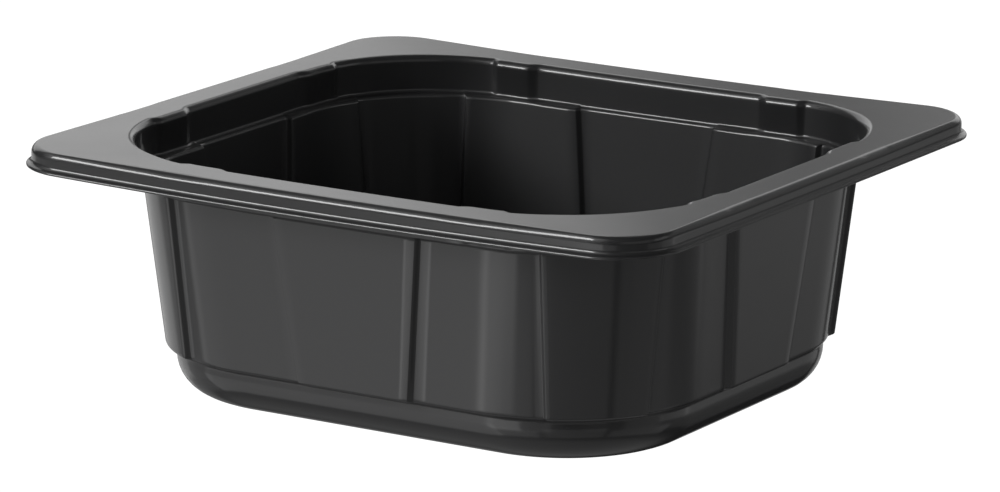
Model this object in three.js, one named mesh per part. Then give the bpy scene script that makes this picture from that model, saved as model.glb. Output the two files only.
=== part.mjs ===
// Plastic meal tray: one thermoformed sheet with a wide flat rim, a turned-down skirt
// and lip round its edge, a short collar with four pairs of stacking lugs, drafted
// walls of stepped panels, and a smaller foot with a large round bottom edge.
//
// The tray is one shell of even thickness. It is built as closed loops of points, one
// loop for each bend of the sheet, that run from the lip over the rim, down the inside
// to the floor, and back up the outside to the lip.

import * as THREE from 'three';

// ---------------------------------------------------------------------------
// Driving dimensions, in millimetres. Z is up and the base stands on z = 0.
// ---------------------------------------------------------------------------
const LENGTH = 176;             // overall, along X, lip included
const WIDTH = 162;              // overall, along Y, lip included
const HEIGHT = 62.2;            // base to the top of the rim at its corners
const SHEET = 0.8;              // thickness of the plastic sheet

const LIP_OUT = 1.35;           // how far the flared lip stands out from the skirt
const LIP_ROOT_DROP = 3.8;      // top of the rim down to the lip's root on the skirt
const LIP_DEPTH = 0.85;         // the lip's root down to its lower edge
const LIP_CUT = 0.35;           // height of its cut edge
const SKIRT_CORNER = 13.8;      // corner radius of the skirt
const RIM_EDGE = 1.8;           // radius of the bend from rim to skirt
const RIM_SAG_LONG = 0.75;      // sag of the rim at the middle of the long sides
const RIM_SAG_SHORT = 0.12;     // and of the short sides
const LIP_SAG = 1.6;            // how many times further the lip sags than the rim

const MOUTH_INSET_X = 10.0;     // overall edge to the rim's inner edge, along X
const MOUTH_INSET_Y = 10.6;     // and along Y
const MOUTH_DROP = 0.15;        // how much lower the rim is at its inner edge
const MOUTH_EDGE = 1.8;         // radius of the bend from rim to collar
const BODY_CORNER = 39;         // corner radius of the mouth, the collar and the walls

const COLLAR_BOTTOM = 9.3;      // top of the rim down to the foot of the collar
const COLLAR_DRAFT = 0.4;       // how far the collar leans in over its height
const LUG_DEPTH = 1.5;          // how far a stacking lug stands into the mouth
const LUG_LEAD = 5;             // length of a lug's full depth on the straight wall
const LUG_RAMP = 2.7;           // length of the ramp before it
const LUG_FULL_ANGLE = 6.2;     // degrees round the corner where its far ramp begins
const LUG_END_ANGLE = 10;       // and where that ramp ends

const WALL_INSET = 11.95;       // overall edge to the panels' outer face, at rim level
const WALL_DRAFT = 0.09;        // how far the walls lean in for each mm of depth
const WALL_TOP = 10.4;          // top of the rim down to the top of the panels
const WALL_BOTTOM = 50;         // and down to the bottom of the panels
const STRIP_STEP = 2.0;         // how far the strips lie behind the panels
const RISER_RUN = 1.0;          // width of the slanted riser between the two

// The middle panel of each side narrows downward. So does each corner panel.
const PANEL_HALF_LONG = { top: 19.4, bottom: 14.9 };
const PANEL_HALF_SHORT = { top: 18.6, bottom: 13.3 };
const CORNER_FROM_LONG = { top: 23.1, bottom: 26.9 };    // degrees round the corner
const CORNER_FROM_SHORT = { top: 24.2, bottom: 27.7 };

const FOOT_TOP = 51.2;          // top of the rim down to the top of the foot
const FOOT_HALF_X = 68.4;       // half size of the foot's outer face, at its top
const FOOT_HALF_Y = 60.9;
const FOOT_CORNER = 34;         // corner radius of the foot
const FOOT_DRAFT = 0.055;       // how far the foot leans in for each mm of depth
const BOTTOM_EDGE = 8.9;        // radius of the bend from foot to base, outside

const SHOULDER_OFFSET = 0.45;   // how much lower the outside bends are, on a step

const COLOUR = 0x1d1d1e;        // black moulded plastic
const ROUGHNESS = 0.42;

// ---------------------------------------------------------------------------
// Columns: every loop has the same number of points, so that they join in strips.
// One half side runs from its middle (column 0) to the corner's diagonal.
// ---------------------------------------------------------------------------
const ARC_START = 5;            // first column on the corner's arc
const RIM_ARC_START = 8;        // first column on the rim's own, smaller corner arc
const STRIP_END = 8;            // last column of the sunk strip
const CORNER_EDGE = 9;          // first column of the corner panel
const DIAGONAL = 12;            // last column, on the corner's diagonal
const DIAGONAL_ANGLE = 45;

const radians = THREE.MathUtils.degToRad;
const mix = THREE.MathUtils.lerp;

/** Even steps from the corner panel's edge to the diagonal. */
function anglesToDiagonal(edge) {
  const angles = [];
  const steps = DIAGONAL - CORNER_EDGE;
  for (let step = 0; step <= steps; step += 1) {
    angles.push(mix(edge, DIAGONAL_ANGLE, step / steps));
  }
  return angles;
}

/** Columns of the mouth and the collar, where the stacking lugs stand in. */
function mouthColumns(straight, panelHalf) {
  const columns = [
    { along: 0 },
    { along: panelHalf },
    { along: panelHalf + RISER_RUN },
    { along: straight - LUG_LEAD - LUG_RAMP },
    { along: straight - LUG_LEAD, lug: 1 },
    { angle: 0, lug: 1 },
    { angle: LUG_FULL_ANGLE, lug: 1 },
    { angle: LUG_END_ANGLE },
    { angle: (LUG_END_ANGLE + CORNER_FROM_LONG.top) / 2 },
  ];
  for (const angle of anglesToDiagonal(CORNER_FROM_LONG.top)) {
    columns.push({ angle });
  }
  return columns;
}

/** Columns of the rim: opposite the mouth's past its lug, then round the rim's corner. */
function rimColumns(straight, panelHalf) {
  const opposite = mouthColumns(straight, panelHalf).slice(0, RIM_ARC_START);
  const columns = opposite.map(({ along, angle }) => ({
    along: angle === undefined ? along : straight + BODY_CORNER * Math.sin(radians(angle)),
  }));
  const arcSteps = DIAGONAL - RIM_ARC_START;
  for (let step = 0; step <= arcSteps; step += 1) {
    columns.push({ angle: DIAGONAL_ANGLE * step / arcSteps });
  }
  return columns;
}

/** Columns of the walls: middle panel, riser, sunk strip, riser, corner panel. */
function wallColumns(straight, panelHalf, cornerAngle, corner) {
  const riserAngle = THREE.MathUtils.radToDeg(RISER_RUN / corner);
  const stripAngle = cornerAngle - riserAngle;
  const columns = [
    { along: 0 },
    { along: panelHalf },
    { along: panelHalf + RISER_RUN, sunk: 1 },
    { along: straight - LUG_LEAD - LUG_RAMP, sunk: 1 },
    { along: straight - LUG_LEAD, sunk: 1 },
  ];
  const steps = STRIP_END - ARC_START;
  for (let step = 0; step <= steps; step += 1) {
    columns.push({ angle: stripAngle * step / steps, sunk: 1 });
  }
  for (const angle of anglesToDiagonal(cornerAngle)) {
    columns.push({ angle });
  }
  return columns;
}

/** Columns of the foot and the base, which have no steps. */
function footColumns(straight) {
  return wallColumns(straight, PANEL_HALF_LONG.bottom, CORNER_FROM_LONG.bottom, FOOT_CORNER);
}

// ---------------------------------------------------------------------------
// Loops
// ---------------------------------------------------------------------------

/**
 * One half side of a loop, as [along, out] pairs: along the wall from its middle, and
 * out from the tray's centre.
 */
function halfSide(loop, columns, half, otherHalf) {
  const arcCentreAlong = otherHalf - loop.corner;
  const arcCentreOut = half - loop.corner;
  return columns.map(({ along, angle, sunk = 0, lug = 0 }) => {
    const inset = sunk * loop.step + lug * loop.lug;
    if (angle === undefined) {
      return [along, half - inset];
    }
    const radius = loop.corner - inset;
    const turn = radians(angle);
    return [arcCentreAlong + radius * Math.sin(turn), arcCentreOut + radius * Math.cos(turn)];
  });
}

/** How much the rim sags at a place on one side, which fades towards the base. */
function sagAt(loop, along, half, depth) {
  return loop.sag * depth * (1 - Math.min(1, Math.abs(along) / half) ** 2);
}

/** The quarter of a loop from the middle of a long side to the middle of a short one. */
function quarter(loop) {
  const { halfX, halfY, corner, columns } = loop;
  const long = halfSide(loop, columns(halfX - corner, 'long'), halfY, halfX);
  const short = halfSide(loop, columns(halfY - corner, 'short'), halfX, halfY);
  const points = long.map(([along, out]) => [
    along, out, loop.z - sagAt(loop, along, halfX, RIM_SAG_LONG),
  ]);
  for (let column = DIAGONAL - 1; column >= 0; column -= 1) {
    const [along, out] = short[column];
    points.push([out, along, loop.z - sagAt(loop, along, halfY, RIM_SAG_SHORT)]);
  }
  return points;
}

/** A whole loop, anticlockwise from above, from its quarter by mirroring. */
function wholeLoop(loop) {
  const points = quarter(loop);
  const back = points.slice(0, -1);
  const ahead = points.slice(1).reverse();
  return [
    ...ahead.map(([x, y, z]) => [x, y, z]),
    ...back.map(([x, y, z]) => [-x, y, z]),
    ...ahead.map(([x, y, z]) => [-x, -y, z]),
    ...back.map(([x, y, z]) => [x, -y, z]),
  ];
}

// ---------------------------------------------------------------------------
// Stations: the bends of the sheet, from the lip inwards and back out
// ---------------------------------------------------------------------------

const MOUTH_HALF_X = LENGTH / 2 - MOUTH_INSET_X;
const MOUTH_HALF_Y = WIDTH / 2 - MOUTH_INSET_Y;
const MOUTH_SIDES = {
  long: { straight: MOUTH_HALF_X - BODY_CORNER, panelHalf: PANEL_HALF_LONG.top },
  short: { straight: MOUTH_HALF_Y - BODY_CORNER, panelHalf: PANEL_HALF_SHORT.top },
};

/** A station of the rim, named by its inset from the overall edge. */
function rimStation(inset, drop, sag = 1) {
  return {
    halfX: LENGTH / 2 - inset,
    halfY: WIDTH / 2 - inset,
    corner: SKIRT_CORNER + LIP_OUT - inset,
    z: HEIGHT - drop,
    step: 0,
    lug: 0,
    sag,
    columns: (_, side) => rimColumns(MOUTH_SIDES[side].straight, MOUTH_SIDES[side].panelHalf),
  };
}

/** A station of the mouth or collar, named by its inset from the rim's inner edge. */
function mouthStation(inset, drop, sag = 1) {
  return {
    halfX: MOUTH_HALF_X - inset,
    halfY: MOUTH_HALF_Y - inset,
    corner: BODY_CORNER - inset,
    z: HEIGHT - drop,
    step: 0,
    lug: LUG_DEPTH,
    sag,
    columns: (straight, side) => mouthColumns(straight, MOUTH_SIDES[side].panelHalf),
  };
}

/** A station of the walls. The outer face is one sheet further out. */
function wallStation(drop, outward, end, sag) {
  const inset = WALL_INSET + WALL_DRAFT * drop + SHEET - outward;
  const corner = BODY_CORNER - SHEET + outward;
  // The outside of a riser lies further along than its inside, by the sheet's thickness.
  const slope = STRIP_STEP / RISER_RUN;
  const spread = outward * (Math.sqrt(1 + slope * slope) - 1) / slope - 0.5 * SHEET;
  return {
    halfX: LENGTH / 2 - inset,
    halfY: WIDTH / 2 - inset,
    corner,
    z: HEIGHT - drop,
    step: STRIP_STEP,
    lug: 0,
    sag,
    columns: (straight, side) => {
      const panel = side === 'long' ? PANEL_HALF_LONG : PANEL_HALF_SHORT;
      const edge = side === 'long' ? CORNER_FROM_LONG : CORNER_FROM_SHORT;
      const turn = THREE.MathUtils.radToDeg(spread / corner);
      return wallColumns(straight, panel[end] + spread, edge[end] - turn, corner);
    },
  };
}

/** A station of the foot and base, named by its inset from the foot's outer face. */
function footStation(inset, drop) {
  return {
    halfX: FOOT_HALF_X - inset,
    halfY: FOOT_HALF_Y - inset,
    corner: FOOT_CORNER - inset,
    z: HEIGHT - drop,
    step: 0,
    lug: 0,
    sag: 0,
    columns: footColumns,
  };
}

/** Angles of a bend, in degrees, in even steps. */
function bendAngles(steps, first, last) {
  const angles = [];
  for (let step = 0; step <= steps; step += 1) {
    angles.push(radians(mix(first, last, step / steps)));
  }
  return angles;
}

/** The upper and inner face, from the lip's lower edge to the rim of the floor. */
function innerStations() {
  const stations = [
    rimStation(0, LIP_ROOT_DROP + LIP_DEPTH, LIP_SAG),
    rimStation(0, LIP_ROOT_DROP + LIP_DEPTH - LIP_CUT, LIP_SAG),
    rimStation(LIP_OUT, LIP_ROOT_DROP, LIP_SAG),
  ];
  for (const turn of bendAngles(3, 0, 90)) {
    stations.push(rimStation(
      LIP_OUT + RIM_EDGE * (1 - Math.cos(turn)),
      RIM_EDGE * (1 - Math.sin(turn)),
    ));
  }
  for (const turn of bendAngles(3, 0, 90)) {
    stations.push(mouthStation(
      MOUTH_EDGE * Math.sin(turn),
      MOUTH_DROP + MOUTH_EDGE * (1 - Math.cos(turn)),
    ));
  }
  stations.push(mouthStation(MOUTH_EDGE + COLLAR_DRAFT, COLLAR_BOTTOM, 0.5));
  stations.push(wallStation(WALL_TOP, 0, 'top', 0.5));
  stations.push(wallStation(WALL_BOTTOM, 0, 'bottom', 0));
  stations.push(footStation(SHEET, FOOT_TOP));
  const bendDrop = HEIGHT - BOTTOM_EDGE;
  const lean = FOOT_DRAFT * (bendDrop - FOOT_TOP);
  const radius = BOTTOM_EDGE - SHEET;
  for (const turn of bendAngles(4, 0, 90)) {
    stations.push(footStation(
      lean + SHEET + radius * (1 - Math.cos(turn)),
      bendDrop + radius * Math.sin(turn),
    ));
  }
  return stations;
}

/** The outer face and the rim's underside, from the rim of the base to the lip. */
function outerStations() {
  const stations = [];
  const bendDrop = HEIGHT - BOTTOM_EDGE;
  const lean = FOOT_DRAFT * (bendDrop - FOOT_TOP);
  for (const turn of bendAngles(4, 90, 0)) {
    stations.push(footStation(
      lean + BOTTOM_EDGE * (1 - Math.cos(turn)),
      bendDrop + BOTTOM_EDGE * Math.sin(turn),
    ));
  }
  stations.push(footStation(0, FOOT_TOP + SHOULDER_OFFSET));
  stations.push(wallStation(WALL_BOTTOM + SHOULDER_OFFSET, SHEET, 'bottom', 0));
  stations.push(wallStation(WALL_TOP + SHOULDER_OFFSET, SHEET, 'top', 0.5));
  stations.push(mouthStation(
    MOUTH_EDGE + COLLAR_DRAFT - SHEET, COLLAR_BOTTOM + SHOULDER_OFFSET, 0.5,
  ));
  for (const turn of bendAngles(2, 90, 0)) {
    stations.push(mouthStation(
      (MOUTH_EDGE - SHEET) * Math.sin(turn),
      MOUTH_DROP + MOUTH_EDGE - (MOUTH_EDGE - SHEET) * Math.cos(turn),
    ));
  }
  for (const turn of bendAngles(2, 90, 0)) {
    stations.push(rimStation(
      LIP_OUT + RIM_EDGE - (RIM_EDGE - SHEET) * Math.cos(turn),
      RIM_EDGE - (RIM_EDGE - SHEET) * Math.sin(turn),
    ));
  }
  stations.push(rimStation(LIP_OUT + SHEET, LIP_ROOT_DROP + LIP_DEPTH, LIP_SAG));
  return stations;
}

// ---------------------------------------------------------------------------
// The shell
// ---------------------------------------------------------------------------

/** Join two loops by a strip of triangles that face out of the plastic. */
function addStrip(triangles, loop, next) {
  const count = loop.length;
  for (let index = 0; index < count; index += 1) {
    const after = (index + 1) % count;
    triangles.push(loop[index], loop[after], next[after]);
    triangles.push(loop[index], next[after], next[index]);
  }
}

/** Close a flat loop with a fan round its centre, facing up or down. */
function addFan(triangles, loop, faceUp) {
  const centre = [0, 0, loop[0][2]];
  loop.forEach((point, index) => {
    const after = loop[(index + 1) % loop.length];
    triangles.push(...(faceUp ? [centre, point, after] : [centre, after, point]));
  });
}

function trayGeometry() {
  const inner = innerStations().map(wholeLoop);
  const outer = outerStations().map(wholeLoop);
  const triangles = [];
  for (let index = 0; index + 1 < inner.length; index += 1) {
    addStrip(triangles, inner[index], inner[index + 1]);
  }
  addFan(triangles, inner[inner.length - 1], true);
  addFan(triangles, outer[0], false);
  for (let index = 0; index + 1 < outer.length; index += 1) {
    addStrip(triangles, outer[index], outer[index + 1]);
  }
  addStrip(triangles, outer[outer.length - 1], inner[0]);

  const geometry = new THREE.BufferGeometry();
  geometry.setAttribute('position', new THREE.Float32BufferAttribute(triangles.flat(), 3));
  return geometry;
}

const material = new THREE.MeshStandardMaterial({
  name: 'black_plastic',
  color: COLOUR,
  roughness: ROUGHNESS,
  metalness: 0,
});

const tray = new THREE.Mesh(trayGeometry(), material);
tray.name = 'tray';

const mealTray = new THREE.Group();
mealTray.name = 'meal_tray';
mealTray.add(tray);

export default mealTray;
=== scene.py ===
"""An empty black plastic meal tray: one thermoformed sheet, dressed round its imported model.

The whole tray is one sheet of plastic. It is built as closed courses of points, one for
each bend of the sheet, whose corners are rounded to the bend's radius. Geometry Nodes
then press the sunk strips and the stacking lugs into the sheet.
"""

import logging
import math
from dataclasses import dataclass, field
from enum import Enum
from typing import Any

import bpy
import numpy as np
from mathutils import Matrix, Vector


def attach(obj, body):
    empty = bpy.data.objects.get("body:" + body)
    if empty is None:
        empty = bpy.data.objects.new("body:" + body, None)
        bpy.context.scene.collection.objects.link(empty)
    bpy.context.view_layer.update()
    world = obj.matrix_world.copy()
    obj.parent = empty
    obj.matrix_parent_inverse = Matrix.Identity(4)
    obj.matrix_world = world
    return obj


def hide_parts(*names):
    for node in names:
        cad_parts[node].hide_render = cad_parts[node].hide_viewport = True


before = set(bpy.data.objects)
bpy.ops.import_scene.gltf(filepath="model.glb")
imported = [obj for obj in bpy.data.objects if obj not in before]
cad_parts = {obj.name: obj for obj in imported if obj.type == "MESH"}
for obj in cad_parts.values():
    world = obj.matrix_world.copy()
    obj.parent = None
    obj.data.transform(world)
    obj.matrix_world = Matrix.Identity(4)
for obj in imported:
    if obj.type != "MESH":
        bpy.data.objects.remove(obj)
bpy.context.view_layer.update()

MM = 0.001

LOG = logging.getLogger("meal_tray")


# ---------------------------------------------------------------------------
# Small tools
# ---------------------------------------------------------------------------


def linear(hex_colour: str) -> tuple[float, float, float, float]:
    """Turn an sRGB hex colour into the linear colour that a shader takes.

    Args:
        hex_colour: Six hex digits after a hash.

    Returns:
        Linear red, green and blue, and an alpha of one.
    """
    parts = [int(hex_colour[i:i + 2], 16) / 255 for i in (1, 3, 5)]
    lit = [c / 12.92 if c <= 0.04045 else ((c + 0.055) / 1.055) ** 2.4 for c in parts]
    return (lit[0], lit[1], lit[2], 1.0)


def add_node(
    tree: bpy.types.NodeTree, kind: str, inputs: dict[Any, Any] | None = None, **settings: Any
) -> bpy.types.Node:
    """Add a node with its settings and its inputs.

    Args:
        tree: The tree that the node goes into.
        kind: The node's type name.
        inputs: Values or output sockets, by the input's name or number.
        **settings: The node's own properties.

    Returns:
        The new node.
    """
    node = tree.nodes.new(kind)
    for name, value in settings.items():
        setattr(node, name, value)
    for key, value in (inputs or {}).items():
        if isinstance(value, bpy.types.NodeSocket):
            tree.links.new(value, node.inputs[key])
        else:
            node.inputs[key].default_value = value
    return node


def smoothstep(share: np.ndarray) -> np.ndarray:
    """Ease a share from 0 to 1 so that it starts and ends level."""
    kept = np.clip(share, 0, 1)
    return kept * kept * (3 - 2 * kept)


# ---------------------------------------------------------------------------
# Finishes
# ---------------------------------------------------------------------------


@dataclass(frozen=True)
class BlackPolypropylene:
    """Black thermoformed polypropylene sheet, drawn over a polished mould.

    It looks near black with a clean gloss: bright thin lines run along its bends, and
    its flats mirror the room softly, a little uneven where the sheet was drawn.
    """

    name: str = "black_thermoformed_polypropylene"
    colour: str = "#1d1d1e"
    cloudy_colour: str = "#212122"
    refraction: float = 1.5
    roughness: float = 0.45
    gloss_weight: float = 0.6
    gloss_roughness: float = 0.06
    sheen_level: float = 0.4       # share of the broad reflection under the gloss
    cloud_mm: float = 22.0
    ripple_mm: float = 11.0
    ripple_height_mm: float = 0.02
    grain_mm: float = 0.7
    grain_height_mm: float = 0.0006

    def build(self) -> bpy.types.Material:
        """Build the material.

        Returns:
            The finished material.
        """
        material = bpy.data.materials.new(self.name)
        material.use_nodes = True
        tree = material.node_tree
        tree.nodes.clear()
        place = add_node(tree, "ShaderNodeTexCoord").outputs["Object"]
        cloud = self.noise(tree, place, self.cloud_mm, 2.0)
        ripple = self.noise(tree, place, self.ripple_mm, 1.0)
        grain = self.noise(tree, place, self.grain_mm, 2.0)
        tone = add_node(
            tree, "ShaderNodeMix",
            {"Factor": cloud, "A": linear(self.colour), "B": linear(self.cloudy_colour)},
            data_type="RGBA",
        )
        # Where the sheet was drawn further it is a touch duller.
        dullness = add_node(
            tree, "ShaderNodeMapRange",
            {"Value": cloud, "To Min": self.roughness - 0.03, "To Max": self.roughness + 0.04},
        )
        ripples = add_node(
            tree, "ShaderNodeBump",
            {"Height": ripple, "Distance": self.ripple_height_mm * MM, "Strength": 1.0},
        )
        bumps = add_node(
            tree, "ShaderNodeBump",
            {
                "Height": grain, "Distance": self.grain_height_mm * MM, "Strength": 1.0,
                "Normal": ripples.outputs["Normal"],
            },
        )
        plastic = add_node(
            tree, "ShaderNodeBsdfPrincipled",
            {
                "Base Color": tone.outputs["Result"], "Roughness": dullness.outputs["Result"],
                "IOR": self.refraction, "Specular IOR Level": self.sheen_level,
                "Coat Weight": self.gloss_weight,
                "Coat Roughness": self.gloss_roughness, "Coat IOR": self.refraction,
                "Normal": bumps.outputs["Normal"], "Coat Normal": bumps.outputs["Normal"],
            },
        )
        add_node(tree, "ShaderNodeOutputMaterial", {"Surface": plastic.outputs["BSDF"]})
        return material

    def noise(
        self, tree: bpy.types.NodeTree, place: bpy.types.NodeSocket, size_mm: float, detail: float
    ) -> bpy.types.NodeSocket:
        """Add a noise whose patches are about a given size.

        Args:
            tree: The material's tree.
            place: The coordinate that it reads.
            size_mm: The patches' size.
            detail: How many finer layers it has.

        Returns:
            The noise's value.
        """
        return add_node(
            tree, "ShaderNodeTexNoise",
            {"Vector": place, "Scale": 1 / (size_mm * MM), "Detail": detail, "Roughness": 0.5},
        ).outputs["Fac"]


@dataclass(frozen=True)
class LitPaper:
    """White studio paper, lit so evenly that it seems to give off its own light."""

    name: str
    brightness: float

    def build(self) -> bpy.types.Material:
        """Build the material.

        Returns:
            The finished material.
        """
        material = bpy.data.materials.new(self.name)
        material.use_nodes = True
        tree = material.node_tree
        tree.nodes.clear()
        light = add_node(
            tree, "ShaderNodeEmission", {"Color": linear("#ffffff"), "Strength": self.brightness}
        )
        add_node(tree, "ShaderNodeOutputMaterial", {"Surface": light.outputs["Emission"]})
        return material


# ---------------------------------------------------------------------------
# The sheet's layout: sides, columns and bends
# ---------------------------------------------------------------------------


class Side(Enum):
    """The long sides run along X and the short sides along Y."""

    LONG = "long"
    SHORT = "short"


class Course(Enum):
    """The stretch of the sheet that a bend belongs to."""

    RIM = "rim"
    MOUTH = "mouth"
    WALL = "wall"
    FOOT = "foot"


@dataclass(frozen=True)
class HalfSide:
    """Half of one side, from its middle to the corner's diagonal."""

    side: Side
    out: int        # the side's direction from the centre, +1 or -1
    along: int      # the corner's direction from the side's middle, +1 or -1
    forward: bool   # whether an anticlockwise loop runs from the middle to the corner

    def place(self, along: np.ndarray, out: np.ndarray) -> np.ndarray:
        """Turn distances along and out into X and Y.

        Args:
            along: Distances from the side's middle towards the corner.
            out: Distances from the tray's centre.

        Returns:
            The X and Y of each point.
        """
        if self.side is Side.LONG:
            return np.column_stack([self.along * along, self.out * out])
        return np.column_stack([self.out * out, self.along * along])


HALF_SIDES = (
    HalfSide(Side.LONG, -1, 1, True),
    HalfSide(Side.SHORT, 1, -1, False),
    HalfSide(Side.SHORT, 1, 1, True),
    HalfSide(Side.LONG, 1, 1, False),
    HalfSide(Side.LONG, 1, -1, True),
    HalfSide(Side.SHORT, -1, 1, False),
    HalfSide(Side.SHORT, -1, -1, True),
    HalfSide(Side.LONG, -1, -1, False),
)


@dataclass(frozen=True)
class Bend:
    """One bend of the sheet, which runs all round the tray. Sizes are in millimetres."""

    course: Course
    inset: float            # from the course's own reference edge
    drop: float             # below the rim's corners
    radius: float = 0.0     # of the bend, or 0 for a course that isn't a bend
    facets: int = 6
    sag: float = 1.0        # share of the rim's sag
    strip: float = 0.0      # share of the sunk strips' depth
    lug: float = 0.0        # share of the lugs' depth
    outward: float = 0.0    # how far outside the wall's inner face it lies


@dataclass(frozen=True)
class Stretches:
    """How finely each stretch of a half side is divided, from its middle to the diagonal."""

    middle_panel: int = 6
    riser: int = 8
    strip: int = 3
    lug_ramp: int = 6
    lug_face: int = 5
    far_lug_ramp: int = 6
    corner_strip: int = 5
    corner_riser: int = 8
    corner_panel: int = 9

    def counts(self) -> list[int]:
        """List the divisions in order."""
        return [
            self.middle_panel, self.riser, self.strip, self.lug_ramp, self.lug_face,
            self.far_lug_ramp, self.corner_strip, self.corner_riser, self.corner_panel,
        ]


@dataclass
class PressedSheet:
    """The tray's sheet. Sizes are in millimetres, and drops are below the rim's corners."""

    length: float = 176.0
    width: float = 162.0
    height: float = 62.2
    sheet: float = 0.8

    lip_out: float = 1.35
    lip_root_drop: float = 3.8
    lip_edge_drop: float = 4.25
    lip_bottom_drop: float = 4.8
    lip_sag: float = 1.6
    skirt_corner: float = 13.8
    rim_edge: float = 1.8
    rim_sag: dict[Side, float] = field(default_factory=lambda: {Side.LONG: 0.75, Side.SHORT: 0.12})

    mouth_inset_x: float = 10.0
    mouth_inset_y: float = 10.6
    mouth_drop: float = 0.15
    mouth_edge: float = 1.8
    body_corner: float = 39.0
    collar_bottom: float = 9.3
    collar_draft: float = 0.4

    wall_inset: float = 11.95
    wall_draft: float = 0.09
    wall_top: float = 9.7
    wall_bottom: float = 50.0
    riser_run: float = 1.0
    strip_depth: float = 1.4
    panel_top: dict[Side, float] = field(default_factory=lambda: {Side.LONG: 19.4, Side.SHORT: 18.6})
    panel_bottom: dict[Side, float] = field(
        default_factory=lambda: {Side.LONG: 14.9, Side.SHORT: 13.3}
    )
    corner_top: dict[Side, float] = field(default_factory=lambda: {Side.LONG: 23.1, Side.SHORT: 24.2})
    corner_bottom: dict[Side, float] = field(
        default_factory=lambda: {Side.LONG: 26.9, Side.SHORT: 27.7}
    )

    # Each lug: where its near ramp starts and ends, and its far ramp starts and ends.
    lug_depth: float = 1.5
    lug_foot: float = 0.4       # share of that depth at the collar's foot
    lug_places: dict[Side, tuple[float, ...]] = field(
        default_factory=lambda: {
            Side.LONG: (31.3, 34.6, 43.0, 45.6), Side.SHORT: (23.0, 27.2, 36.6, 39.4),
        }
    )
    # Lugs on opposite halves are shifted along, so they don't lie quite opposite each other.
    lug_stagger: dict[Side, float] = field(
        default_factory=lambda: {Side.LONG: 0.6, Side.SHORT: 3.2}
    )

    foot_half_x: float = 68.4
    foot_half_y: float = 60.9
    foot_corner: float = 34.0
    foot_top: float = 51.2
    foot_draft: float = 0.055
    bottom_edge: float = 8.9
    shoulder_offset: float = 0.45
    floor_rings: tuple[float, ...] = (14.0, 22.0, 29.0)     # insets that divide the flat floor

    stretches: Stretches = field(default_factory=Stretches)

    @property
    def foot_lean(self) -> float:
        """How far the foot leans in above its bottom bend."""
        return self.foot_draft * (self.height - self.bottom_edge - self.foot_top)

    def half_sizes(self, bend: Bend) -> tuple[float, float, float]:
        """Find the size of a bend's loop.

        Args:
            bend: The bend.

        Returns:
            Half its size along X and along Y, and its corner radius.
        """
        if bend.course is Course.RIM:
            corner = self.skirt_corner + self.lip_out - bend.inset
            return self.length / 2 - bend.inset, self.width / 2 - bend.inset, corner
        if bend.course is Course.MOUTH:
            half_x = self.length / 2 - self.mouth_inset_x - bend.inset
            half_y = self.width / 2 - self.mouth_inset_y - bend.inset
            return half_x, half_y, self.body_corner - bend.inset
        if bend.course is Course.WALL:
            inset = self.wall_inset + self.wall_draft * bend.drop + self.sheet - bend.outward
            corner = self.body_corner - self.sheet + bend.outward
            return self.length / 2 - inset, self.width / 2 - inset, corner
        inset = bend.inset
        return self.foot_half_x - inset, self.foot_half_y - inset, self.foot_corner - inset

    def mouth_divisions(self, half: HalfSide) -> tuple[list[float], float, float]:
        """Divide the mouth's edge, measured round it from the side's middle.

        Args:
            half: The half side.

        Returns:
            The ten places, and the mouth's straight length and corner radius.
        """
        side = half.side
        size_x, size_y, corner = self.half_sizes(Bend(Course.MOUTH, 0, 0))
        straight = (size_x if side is Side.LONG else size_y) - corner
        stagger = self.lug_stagger[side] * half.out * half.along
        lug = [place - stagger for place in self.lug_places[side]]
        edge = straight + corner * math.radians(self.corner_top[side])
        panel = self.panel_top[side]
        places = [
            0, panel, panel + self.riser_run, *lug, edge - self.riser_run, edge,
            straight + corner * math.pi / 4,
        ]
        return spaced(places), straight, corner

    def divisions(self, bend: Bend, half: HalfSide) -> list[float]:
        """Divide a bend's half side into stretches, measured round it from its middle.

        Args:
            bend: The bend.
            half: The half side.

        Returns:
            The ten places between and at the ends of the nine stretches.
        """
        side = half.side
        mouth, mouth_straight, mouth_corner = self.mouth_divisions(half)
        half_x, half_y, corner = self.half_sizes(bend)
        if bend.course is Course.MOUTH:
            return [
                place if place < mouth_straight
                else mouth_straight + (place - mouth_straight) * corner / mouth_corner
                for place in mouth
            ]
        straight = (half_x if side is Side.LONG else half_y) - corner
        end = straight + corner * math.pi / 4
        if bend.course is Course.RIM:
            opposite = [
                place if place < mouth_straight
                else mouth_straight + mouth_corner * math.sin((place - mouth_straight) / mouth_corner)
                for place in mouth[:7]
            ]
            return [*opposite, straight, straight + 0.4 * (end - straight), end]
        depth = min(1.0, (bend.drop - self.wall_top) / (self.wall_bottom - self.wall_top))
        spread = self.riser_spread(bend.outward)
        panel = self.panel_top[side] + depth * (self.panel_bottom[side] - self.panel_top[side]) + spread
        angle = self.corner_top[side] + depth * (self.corner_bottom[side] - self.corner_top[side])
        edge = straight + corner * math.radians(angle) - spread
        lug = [
            place * straight / mouth_straight if place < mouth_straight
            else straight + (place - mouth_straight) * corner / mouth_corner
            for place in mouth[3:7]
        ]
        return spaced([0, panel, panel + self.riser_run, *lug, edge - self.riser_run, edge, end])

    def riser_spread(self, outward: float) -> float:
        """Find how far a riser lies further along on one face of the sheet.

        Args:
            outward: How far outside the wall's inner face the surface lies.

        Returns:
            The shift along the wall that keeps the sheet evenly thick at a riser.
        """
        slope = self.strip_depth / self.riser_run
        return outward * (math.sqrt(1 + slope * slope) - 1) / slope - 0.5 * self.sheet

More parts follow.
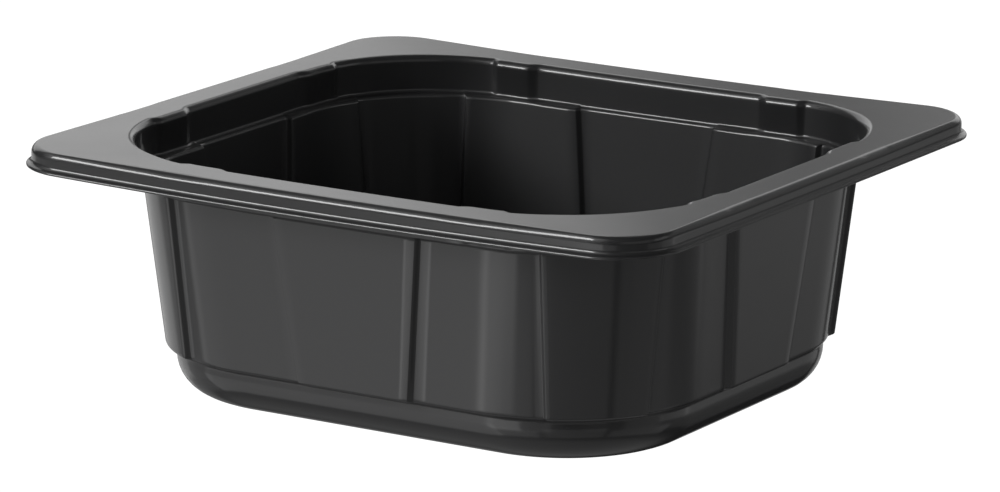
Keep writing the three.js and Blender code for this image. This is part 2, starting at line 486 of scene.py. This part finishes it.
    def columns(self, places: list[float]) -> tuple[np.ndarray, np.ndarray, np.ndarray]:
        """Place a half side's columns and weigh its steps.

        Args:
            places: The ten places between and at the ends of its stretches.

        Returns:
            The columns' places, and the strip's and the lug's share of depth at each.
        """
        at, strip, lug = [], [], []
        for number, count in enumerate(self.stretches.counts()):
            share = np.arange(count) / count
            at.append(places[number] + share * (places[number + 1] - places[number]))
            rise = smoothstep(share)
            level = np.ones(count)
            strip.append({1: rise, 7: 1 - rise}.get(number, level * (2 <= number <= 6)))
            lug.append({3: rise, 5: 1 - rise}.get(number, level * (number == 4)))
        at.append(np.array([places[-1]]))
        strip.append(np.zeros(1))
        lug.append(np.zeros(1))
        return np.concatenate(at), np.concatenate(strip), np.concatenate(lug)

    def half_row(self, bend: Bend, half: HalfSide) -> np.ndarray:
        """Lay out a bend along one half side, before its steps are pressed.

        Args:
            bend: The bend.
            half: The half side.

        Returns:
            A row for each column: X, Y, Z, inward X and Y, strip share and lug share.
        """
        half_x, half_y, corner = self.half_sizes(bend)
        own, other = (half_x, half_y) if half.side is Side.LONG else (half_y, half_x)
        straight = own - corner
        at, strip, lug = self.columns(self.divisions(bend, half))
        turn = np.clip((at - straight) / corner, 0, None)
        along = np.where(at < straight, at, straight + corner * np.sin(turn))
        out = other - corner * (1 - np.cos(turn))
        points = half.place(along, out)
        inward = half.place(-np.sin(turn), -np.cos(turn))
        # The sag of one side fades into the next side's round the corner.
        next_side = Side.SHORT if half.side is Side.LONG else Side.LONG
        own_sag = self.rim_sag[half.side] * (1 - (along / own) ** 2)
        next_sag = self.rim_sag[next_side] * (1 - (out / other) ** 2)
        fade = smoothstep(turn / (math.pi / 2))
        sag = bend.sag * (own_sag * (1 - fade) + next_sag * fade)
        level = self.height - bend.drop - sag
        return np.column_stack([points, level, inward, strip * bend.strip, lug * bend.lug])

    def row(self, bend: Bend) -> np.ndarray:
        """Lay out a bend all round the tray, anticlockwise from above.

        Args:
            bend: The bend.

        Returns:
            A row for each column, as half_row gives.
        """
        halves = []
        for half in HALF_SIDES:
            part = self.half_row(bend, half)
            halves.append(part[:-1] if half.forward else part[:0:-1])
        return np.vstack(halves)

    def inner_bends(self) -> list[Bend]:
        """List the bends of the upper face, from the lip's cut edge to the floor.

        Returns:
            The bends in order.
        """
        lip = {"sag": self.lip_sag, "facets": 6}
        foot_inset = self.sheet + self.foot_lean
        floor = self.height - self.sheet
        bends = [
            Bend(Course.RIM, 0.1, self.lip_bottom_drop, 0.06, **lip),
            Bend(Course.RIM, 0, self.lip_edge_drop, 0.85, **lip),
            Bend(Course.RIM, self.lip_out, self.lip_root_drop, 1.4, **lip),
            Bend(Course.RIM, self.lip_out, 0, self.rim_edge, 9),
            Bend(Course.MOUTH, self.mouth_edge, self.mouth_drop, self.mouth_edge, 9, lug=1),
            Bend(
                Course.MOUTH, self.mouth_edge + self.collar_draft, self.collar_bottom, 0.8,
                sag=0.5, lug=self.lug_foot,
            ),
            Bend(Course.WALL, 0, self.wall_top, 0.9, sag=0.5, strip=1),
            Bend(Course.WALL, 0, self.wall_bottom, 0.7, sag=0, strip=1),
            Bend(Course.FOOT, self.sheet, self.foot_top, 0.8, sag=0),
            Bend(Course.FOOT, foot_inset, floor, self.bottom_edge - self.sheet, 10, sag=0),
        ]
        for inset in self.floor_rings:
            bends.append(Bend(Course.FOOT, inset, floor, sag=0))
        return bends

    def outer_bends(self) -> list[Bend]:
        """List the bends of the lower face, from the base to the inside of the lip.

        Returns:
            The bends in order.
        """
        wall_bottom = self.wall_bottom + self.shoulder_offset
        wall_top = self.wall_top + self.shoulder_offset
        collar_foot = self.collar_bottom + self.shoulder_offset
        collar_inset = self.mouth_edge + self.collar_draft - self.sheet
        skirt = self.lip_out + self.sheet
        bends = [Bend(Course.FOOT, inset, self.height, sag=0) for inset in self.floor_rings[::-1]]
        bends += [
            Bend(Course.FOOT, self.foot_lean, self.height, self.bottom_edge, 10, sag=0),
            Bend(Course.FOOT, 0, self.foot_top + self.shoulder_offset, 0.5, sag=0),
            Bend(Course.WALL, 0, wall_bottom, 0.9, sag=0, strip=1, outward=self.sheet),
            Bend(Course.WALL, 0, wall_top, 0.8, sag=0.5, strip=1, outward=self.sheet),
            Bend(Course.MOUTH, collar_inset, collar_foot, 0.5, sag=0.5, lug=self.lug_foot),
            Bend(Course.MOUTH, 1.0, self.mouth_drop + self.sheet, 1.0, lug=1),
            Bend(Course.RIM, skirt, self.sheet, 1.0),
            Bend(Course.RIM, skirt, self.lip_root_drop + 0.4, 0.4, 4, sag=self.lip_sag),
        ]
        return bends

    def rows(self) -> tuple[list[np.ndarray], list[np.ndarray]]:
        """Lay out the whole sheet, from the lip over the upper face and back underneath.

        Returns:
            The upper face's rows, from the lip to the floor, and the lower face's, from the
            base back to the lip.
        """
        inner = [(bend, self.row(bend)) for bend in self.inner_bends()]
        outer = [(bend, self.row(bend)) for bend in self.outer_bends()]
        upper = rounded([outer[-1], *inner])
        lower = rounded([*outer, inner[0]])
        return upper, lower


def spaced(places: list[float], least: float = 0.5) -> list[float]:
    """Keep places along a side in order.

    Args:
        places: The places.
        least: How far each must lie past the one before.

    Returns:
        The places, moved on where they lay too close.
    """
    kept = places[:1]
    for place in places[1:]:
        kept.append(max(place, kept[-1] + least))
    return kept


def reaches(courses: list[tuple[Bend, np.ndarray]]) -> list[np.ndarray]:
    """Find how far each rounded bend reaches along the flats beside it.

    Args:
        courses: Each bend with its row.

    Returns:
        The reach of each course at each column, or zero where it isn't rounded.
    """
    wanted = []
    for number, (bend, at) in enumerate(courses):
        if bend.radius == 0 or number in (0, len(courses) - 1):
            wanted.append(np.zeros((len(at), 1)))
            continue
        back = courses[number - 1][1][:, :3] - at[:, :3]
        ahead = courses[number + 1][1][:, :3] - at[:, :3]
        lengths = np.linalg.norm(back, axis=1) * np.linalg.norm(ahead, axis=1)
        cosine = -np.sum(back * ahead, axis=1) / lengths
        half_turn = np.arccos(np.clip(cosine, -1, 1)) / 2
        wanted.append((bend.radius * np.tan(half_turn))[:, None])
    kept = [reach.copy() for reach in wanted]
    most = 0.97         # share of a flat that the bends at its ends may take together
    for number in range(len(courses) - 1):
        flat = courses[number + 1][1][:, :3] - courses[number][1][:, :3]
        length = np.linalg.norm(flat, axis=1, keepdims=True)
        total = np.maximum(wanted[number] + wanted[number + 1], 1e-9)
        scale = np.minimum(1, most * length / total)
        kept[number] = np.minimum(kept[number], wanted[number] * scale)
        kept[number + 1] = np.minimum(kept[number + 1], wanted[number + 1] * scale)
    return kept


def rounded(courses: list[tuple[Bend, np.ndarray]]) -> list[np.ndarray]:
    """Round the bends between the first course and the last.

    Args:
        courses: Each bend with its row. The first and the last only give the slope.

    Returns:
        The rows of the rounded sheet.
    """
    guard = 0.22        # mm; a row this far past a bend keeps the flat beside it flat
    rows = []
    reach = reaches(courses)
    for number, (bend, at) in enumerate(courses):
        if bend.radius == 0:
            rows.append(at)
            continue
        if number in (0, len(courses) - 1):
            continue
        before, after = courses[number - 1][1], courses[number + 1][1]
        back_length = np.linalg.norm(before[:, :3] - at[:, :3], axis=1, keepdims=True)
        ahead_length = np.linalg.norm(after[:, :3] - at[:, :3], axis=1, keepdims=True)
        start = at + (before - at) * (reach[number] / back_length)
        finish = at + (after - at) * (reach[number] / ahead_length)
        to_start, to_finish = start[:, :3] - at[:, :3], finish[:, :3] - at[:, :3]
        cosine = np.sum(to_start * to_finish, axis=1, keepdims=True) / reach[number] ** 2
        weight = np.sqrt((1 - np.clip(cosine, -1, 1)) / 2)
        spare = np.minimum(guard, 0.3 * (back_length - reach[number] - reach[number - 1]))
        rows.append(start + (before - start) * (spare / (back_length - reach[number])))
        for step in range(bend.facets + 1):
            share = step / bend.facets
            pulls = (1 - share) ** 2, 2 * weight * share * (1 - share), share ** 2
            total = pulls[0] + pulls[1] + pulls[2]
            rows.append((start * pulls[0] + at * pulls[1] + finish * pulls[2]) / total)
        spare = np.minimum(guard, 0.3 * (ahead_length - reach[number] - reach[number + 1]))
        rows.append(finish + (after - finish) * (spare / (ahead_length - reach[number])))
    return rows


# ---------------------------------------------------------------------------
# The tray
# ---------------------------------------------------------------------------


@dataclass
class MealTray:
    """The tray, which is one piece."""

    plan: PressedSheet = field(default_factory=PressedSheet)
    finish: BlackPolypropylene = field(default_factory=BlackPolypropylene)
    nib_radius: float = 0.28
    nib_places: tuple[tuple[float, float], ...] = ((33.0, -81.0), (-88.0, 12.0))

    def build(self) -> bpy.types.Object:
        """Build and dress the tray.

        Returns:
            The finished piece, riding on the part's body.
        """
        material = self.finish.build()
        tray = bpy.data.objects.new("pressed_tray", self.base_mesh())
        bpy.context.scene.collection.objects.link(tray)
        self.press(tray, material)
        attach(tray, "root")
        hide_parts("tray")
        return tray

    def base_mesh(self) -> bpy.types.Mesh:
        """Make the sheet before its strips and lugs are pressed.

        Returns:
            A closed mesh that carries the strip and lug shares and the inward direction.
        """
        upper, lower = self.plan.rows()
        rows = np.array(upper + lower)
        count, columns = rows.shape[:2]
        flat = rows.reshape(-1, rows.shape[2])
        floor_z, base_z = upper[-1][0, 2], lower[0][0, 2]
        centres = np.array([[0, 0, floor_z], [0, 0, base_z]])
        points = np.vstack([flat[:, :3], centres]) * MM
        shares = np.vstack([flat[:, 3:], np.zeros((2, 4))])

        after = np.roll(np.arange(columns), -1)
        here = np.arange(columns)
        faces = []
        for row in range(count):
            if row == len(upper) - 1:
                continue
            this, following = row * columns, (row + 1) % count * columns
            faces.append(np.column_stack([
                this + here, this + after, following + after, following + here,
            ]))
        last_upper, first_lower = (len(upper) - 1) * columns, len(upper) * columns
        floor, base = len(flat), len(flat) + 1
        quads = np.vstack(faces).tolist()
        quads += [(floor, last_upper + i, last_upper + j) for i, j in zip(here, after)]
        quads += [(base, first_lower + j, first_lower + i) for i, j in zip(here, after)]

        mesh = bpy.data.meshes.new("pressed_tray")
        mesh.from_pydata(points.tolist(), [], quads)
        inward = np.column_stack([shares[:, 0], shares[:, 1], np.zeros(len(shares))])
        store(mesh, "inward", inward)
        store(mesh, "strip", shares[:, 2])
        store(mesh, "lug", shares[:, 3])
        store(mesh, "nib", self.nib_points(points))
        mesh.shade_smooth()
        return mesh

    def nib_points(self, points: np.ndarray) -> np.ndarray:
        """Mark the points of the lip where a trimming nib is left.

        Args:
            points: The sheet's points, in metres.

        Returns:
            One at the point nearest each nib, and zero elsewhere.
        """
        marks = np.zeros(len(points))
        edge_z = (self.plan.height - self.plan.lip_bottom_drop) * MM
        for x, y in self.nib_places:
            away = np.linalg.norm(points - np.array([x * MM, y * MM, edge_z]), axis=1)
            marks[np.argmin(away)] = 1
        return marks

    def press(self, tray: bpy.types.Object, material: bpy.types.Material) -> None:
        """Press the strips and lugs into the sheet and keep the result as a plain mesh.

        Args:
            tray: The piece, whose mesh is the unpressed sheet.
            material: The finish that it gets.
        """
        tree = self.press_tree(material)
        modifier = tray.modifiers.new("press", "NODES")
        modifier.node_group = tree
        sizes = {
            "Strip depth": self.plan.strip_depth * MM,
            "Lug depth": self.plan.lug_depth * MM,
            "Nib radius": self.nib_radius * MM,
        }
        for item in tree.interface.items_tree:
            if item.in_out == "INPUT" and item.name in sizes:
                modifier[item.identifier] = sizes[item.name]
        graph = bpy.context.evaluated_depsgraph_get()
        pressed = bpy.data.meshes.new_from_object(tray.evaluated_get(graph))
        tray.modifiers.remove(modifier)
        unpressed = tray.data
        tray.data = pressed
        bpy.data.meshes.remove(unpressed)
        pressed.name = "pressed_tray"

    def press_tree(self, material: bpy.types.Material) -> bpy.types.NodeTree:
        """Build the nodes that press the steps and leave the nibs on the lip.

        Args:
            material: The finish that the sheet gets.

        Returns:
            The node tree.
        """
        tree = bpy.data.node_groups.new("press_steps", "GeometryNodeTree")
        interface = tree.interface
        interface.new_socket("Geometry", in_out="INPUT", socket_type="NodeSocketGeometry")
        for name in ("Strip depth", "Lug depth", "Nib radius"):
            interface.new_socket(name, in_out="INPUT", socket_type="NodeSocketFloat")
        interface.new_socket("Geometry", in_out="OUTPUT", socket_type="NodeSocketGeometry")
        given = add_node(tree, "NodeGroupInput")

        def stored(name: str, kind: str) -> bpy.types.NodeSocket:
            """Read an attribute that the sheet carries."""
            reader = add_node(tree, "GeometryNodeInputNamedAttribute", {"Name": name}, data_type=kind)
            return reader.outputs["Attribute"]

        depths = []
        for share, depth in (("strip", "Strip depth"), ("lug", "Lug depth")):
            product = add_node(
                tree, "ShaderNodeMath",
                {0: stored(share, "FLOAT"), 1: given.outputs[depth]}, operation="MULTIPLY",
            )
            depths.append(product.outputs[0])
        depth = add_node(tree, "ShaderNodeMath", {0: depths[0], 1: depths[1]}, operation="ADD")
        offset = add_node(
            tree, "ShaderNodeVectorMath",
            {0: stored("inward", "FLOAT_VECTOR"), "Scale": depth.outputs[0]}, operation="SCALE",
        )
        pressed = add_node(
            tree, "GeometryNodeSetPosition",
            {"Geometry": given.outputs["Geometry"], "Offset": offset.outputs[0]},
        )
        nib = add_node(
            tree, "GeometryNodeMeshIcoSphere",
            {"Radius": given.outputs["Nib radius"], "Subdivisions": 2},
        )
        stretch = add_node(
            tree, "FunctionNodeRandomValue",
            {0: (0.8, 0.6, 0.6), 1: (1.5, 1.0, 1.1), "Seed": 7}, data_type="FLOAT_VECTOR",
        )
        nibs = add_node(
            tree, "GeometryNodeInstanceOnPoints",
            {
                "Points": pressed.outputs["Geometry"], "Selection": stored("nib", "FLOAT"),
                "Instance": nib.outputs["Mesh"], "Scale": stretch.outputs["Value"],
            },
        )
        joined = add_node(tree, "GeometryNodeJoinGeometry")
        tree.links.new(nibs.outputs["Instances"], joined.inputs[0])
        tree.links.new(pressed.outputs["Geometry"], joined.inputs[0])
        real = add_node(
            tree, "GeometryNodeRealizeInstances", {"Geometry": joined.outputs["Geometry"]}
        )
        dressed = add_node(
            tree, "GeometryNodeSetMaterial",
            {"Geometry": real.outputs["Geometry"], "Material": material},
        )
        add_node(tree, "NodeGroupOutput", {0: dressed.outputs["Geometry"]})
        return tree


def store(mesh: bpy.types.Mesh, name: str, values: np.ndarray) -> None:
    """Store a number or a vector for each point of a mesh.

    Args:
        mesh: The mesh.
        name: The attribute's name.
        values: One number or one vector for each point.
    """
    vector = values.ndim == 2
    attribute = mesh.attributes.new(name, "FLOAT_VECTOR" if vector else "FLOAT", "POINT")
    attribute.data.foreach_set("vector" if vector else "value", values.astype(np.float32).ravel())


# ---------------------------------------------------------------------------
# Camera and studio
# ---------------------------------------------------------------------------


@dataclass(frozen=True)
class ViewCamera:
    """The camera at the photograph's viewing angle."""

    azimuth: float = 32.117     # degrees, from -Y towards +X
    elevation: float = 13.844
    roll: float = 0.229
    place: tuple[float, float, float] = (0.737545, -1.175636, 0.375447)
    lens: float = 215.53
    sensor: float = 36.0

    def build(self) -> bpy.types.Object:
        """Make the camera and the scene's view of colour.

        Returns:
            The camera.
        """
        data = bpy.data.cameras.new("view_camera")
        data.lens = self.lens
        data.sensor_width = self.sensor
        data.clip_start, data.clip_end = 0.05, 30.0
        camera = bpy.data.objects.new("view_camera", data)
        bpy.context.scene.collection.objects.link(camera)
        a, e, r = (math.radians(x) for x in (self.azimuth, self.elevation, self.roll))
        right = Vector((math.cos(a), math.sin(a), 0))
        back = Vector((math.sin(a) * math.cos(e), -math.cos(a) * math.cos(e), math.sin(e)))
        up = back.cross(right)
        x_axis = right * math.cos(r) + up * math.sin(r)
        y_axis = up * math.cos(r) - right * math.sin(r)
        turn = Matrix((x_axis, y_axis, back)).transposed()
        camera.matrix_world = Matrix.Translation(self.place) @ turn.to_4x4()
        bpy.context.scene.camera = camera
        return camera


@dataclass(frozen=True)
class LightPatch:
    """A soft-edged patch of light or lit paper in a given direction. Angles are in degrees."""

    name: str
    azimuth: float          # of its middle, from -Y towards +X
    elevation: float
    width: float
    height: float
    fade: float             # width of its soft edge
    brightness: float

    def build(
        self, tree: bpy.types.NodeTree, around: bpy.types.NodeSocket, above: bpy.types.NodeSocket
    ) -> bpy.types.NodeSocket:
        """Add the patch's brightness to the room's nodes.

        Args:
            tree: The room's tree.
            around: The azimuth that is looked at, in radians.
            above: The elevation that is looked at, in radians.

        Returns:
            The brightness in that direction.
        """
        turned = add_node(
            tree, "ShaderNodeMath", {0: around, 1: math.radians(self.azimuth)}, operation="SUBTRACT"
        )
        wrapped = add_node(
            tree, "ShaderNodeMath", {0: turned.outputs[0], 1: math.pi, 2: -math.pi}, operation="WRAP"
        )
        raised = add_node(
            tree, "ShaderNodeMath", {0: above, 1: math.radians(self.elevation)}, operation="SUBTRACT"
        )
        across = self.share(tree, wrapped.outputs[0], self.width)
        upward = self.share(tree, raised.outputs[0], self.height)
        both = add_node(tree, "ShaderNodeMath", {0: across, 1: upward}, operation="MULTIPLY")
        lit = add_node(
            tree, "ShaderNodeMath", {0: both.outputs[0], 1: self.brightness}, operation="MULTIPLY"
        )
        return lit.outputs[0]

    def share(
        self, tree: bpy.types.NodeTree, angle: bpy.types.NodeSocket, size: float
    ) -> bpy.types.NodeSocket:
        """Fade from one inside the patch to zero outside it.

        Args:
            tree: The room's tree.
            angle: The angle from the patch's middle, in radians.
            size: The patch's size that way, in degrees.

        Returns:
            The share of its brightness.
        """
        away = add_node(tree, "ShaderNodeMath", {0: angle}, operation="ABSOLUTE")
        return add_node(
            tree, "ShaderNodeMapRange",
            {
                "Value": away.outputs[0], "From Min": math.radians((size + self.fade) / 2),
                "From Max": math.radians((size - self.fade) / 2),
            },
            interpolation_type="SMOOTHSTEP",
        ).outputs["Result"]


@dataclass(frozen=True)
class Studio:
    """A dim room with one bright soft box, white cards and lit table paper.

    The tray is lit by direction alone. The camera sees plain white all round it.
    """

    # Each brightness was fitted, so that the tray's greys come close to the photograph's.
    patches: tuple[LightPatch, ...] = (
        LightPatch("key_box", -37, 24, 24, 16, 4, 18.0),
        LightPatch("key_glow", -45, 42, 90, 22, 16, 0.8),
        LightPatch("left_card", -128.2, 22, 40, 34, 5.6, 1.16),
        LightPatch("left_high_card", -150, 36, 40, 16, 10, 0.97),
        LightPatch("left_low_card", -122, -1, 56, 12, 6, 0.05),
        LightPatch("back_card", -172, 16, 36, 26, 10, 1.27),
        LightPatch("back_low_card", -166, -2, 34, 12, 6, 0.24),
        LightPatch("far_right_card", 150, 16, 40, 26, 10, 0.3),
        LightPatch("right_card", 112, 20, 34, 22, 10, 0.9),
        LightPatch("near_right_card", 60, 20, 60, 30, 16, 0.4),
        LightPatch("ceiling", 0, 90, 400, 110, 10, 0.1),
        LightPatch("table_front", -18, -18, 27.4, 18, 6, 1.68),
        LightPatch("table_front_near", -10, -34, 40, 16, 8, 0.57),
        LightPatch("table_front_left", -50, -12, 40, 10, 6, 0.46),
        LightPatch("table_front_left_near", -50, -30, 46, 26, 6, 0.92),
        LightPatch("table_left", -85, -16, 34, 20, 8, 0.33),
        LightPatch("table_left_near", -110, -34, 70, 16, 8, 0.26),
        LightPatch("table_back_left", -118, -16, 34, 20, 8, 0.8),
        LightPatch("table_back", -158, -14, 36, 22, 8, 0.5),
        LightPatch("table_back_right", 160, -12, 34, 15, 6, 0.4),
        LightPatch("table_far_right", 130, -12, 34, 15, 6, 0.5),
        LightPatch("table_far_right_near", 145, -26, 60, 16, 6, 0.11),
        LightPatch("table_right", 98, -16, 34, 20, 8, 0.33),
        LightPatch("table_right_near", 100, -34, 60, 16, 8, 0.4),
        LightPatch("table_near_right", 65, -16, 34, 20, 8, 0.12),
        LightPatch("table_corner", 35, -12, 26, 10, 6, 0.08),
        LightPatch("table_corner_near", 40, -30, 52, 24, 6, 0.36),
        LightPatch("table_front_right", 8, -18, 26, 18, 8, 0.44),
        LightPatch("table_under", 0, -90, 400, 80, 20, 0.33),
    )
    room_brightness: float = 0.0
    floor_size: float = 8.0
    floor_gap: float = 0.0003       # metres between the floor and the tray's base
    floor_brightness: float = 1.1

    def build(self) -> None:
        """Make the floor and the room."""
        self.floor()
        self.room()
        LOG.info("studio: %d light patches", len(self.patches))

    def floor(self) -> bpy.types.Object:
        """Make the white floor, which only the camera sees.

        Returns:
            The floor, which isn't part of the object.
        """
        half = self.floor_size / 2
        mesh = bpy.data.meshes.new("floor")
        level = -self.floor_gap
        plan = [(-half, -half), (half, -half), (half, half), (-half, half)]
        corners = [(x, y, level) for x, y in plan]
        mesh.from_pydata(corners, [], [(0, 1, 2, 3)])
        mesh.materials.append(LitPaper("lit_white_paper", self.floor_brightness).build())
        floor = bpy.data.objects.new("floor", mesh)
        bpy.context.scene.collection.objects.link(floor)
        floor.visible_diffuse = False
        floor.visible_glossy = False
        floor.visible_shadow = False
        return floor

    def room(self) -> None:
        """Light the room by direction, and keep it white where the camera looks past the floor."""
        world = bpy.data.worlds.new("studio_room")
        world.use_nodes = True
        tree = world.node_tree
        tree.nodes.clear()
        way = add_node(tree, "ShaderNodeTexCoord").outputs["Generated"]
        parts = add_node(tree, "ShaderNodeSeparateXYZ", {0: way})
        front = add_node(tree, "ShaderNodeMath", {0: parts.outputs["Y"], 1: -1.0}, operation="MULTIPLY")
        around = add_node(
            tree, "ShaderNodeMath", {0: parts.outputs["X"], 1: front.outputs[0]}, operation="ARCTAN2"
        )
        above = add_node(tree, "ShaderNodeMath", {0: parts.outputs["Z"]}, operation="ARCSINE")
        total = add_node(tree, "ShaderNodeValue").outputs[0]
        total.default_value = self.room_brightness
        for patch in self.patches:
            lit = patch.build(tree, around.outputs[0], above.outputs[0])
            total = add_node(tree, "ShaderNodeMath", {0: total, 1: lit}, operation="ADD").outputs[0]
        seen = add_node(tree, "ShaderNodeLightPath").outputs["Is Camera Ray"]
        strength = add_node(
            tree, "ShaderNodeMix", {"Factor": seen, "A": total, "B": self.floor_brightness}
        )
        light = add_node(
            tree, "ShaderNodeBackground",
            {"Color": linear("#ffffff"), "Strength": strength.outputs["Result"]},
        )
        add_node(tree, "ShaderNodeOutputWorld", {"Surface": light.outputs["Background"]})
        bpy.context.scene.world = world
        bpy.context.scene.view_settings.view_transform = "Standard"


def main() -> None:
    """Build the camera, the tray and the studio, in that order."""
    logging.basicConfig(level=logging.INFO, format="%(message)s")
    ViewCamera().build()
    tray = MealTray().build()
    LOG.info("tray: %d faces, replaces node tray", len(tray.data.polygons))
    Studio().build()


if __name__ == "__main__":
    main()
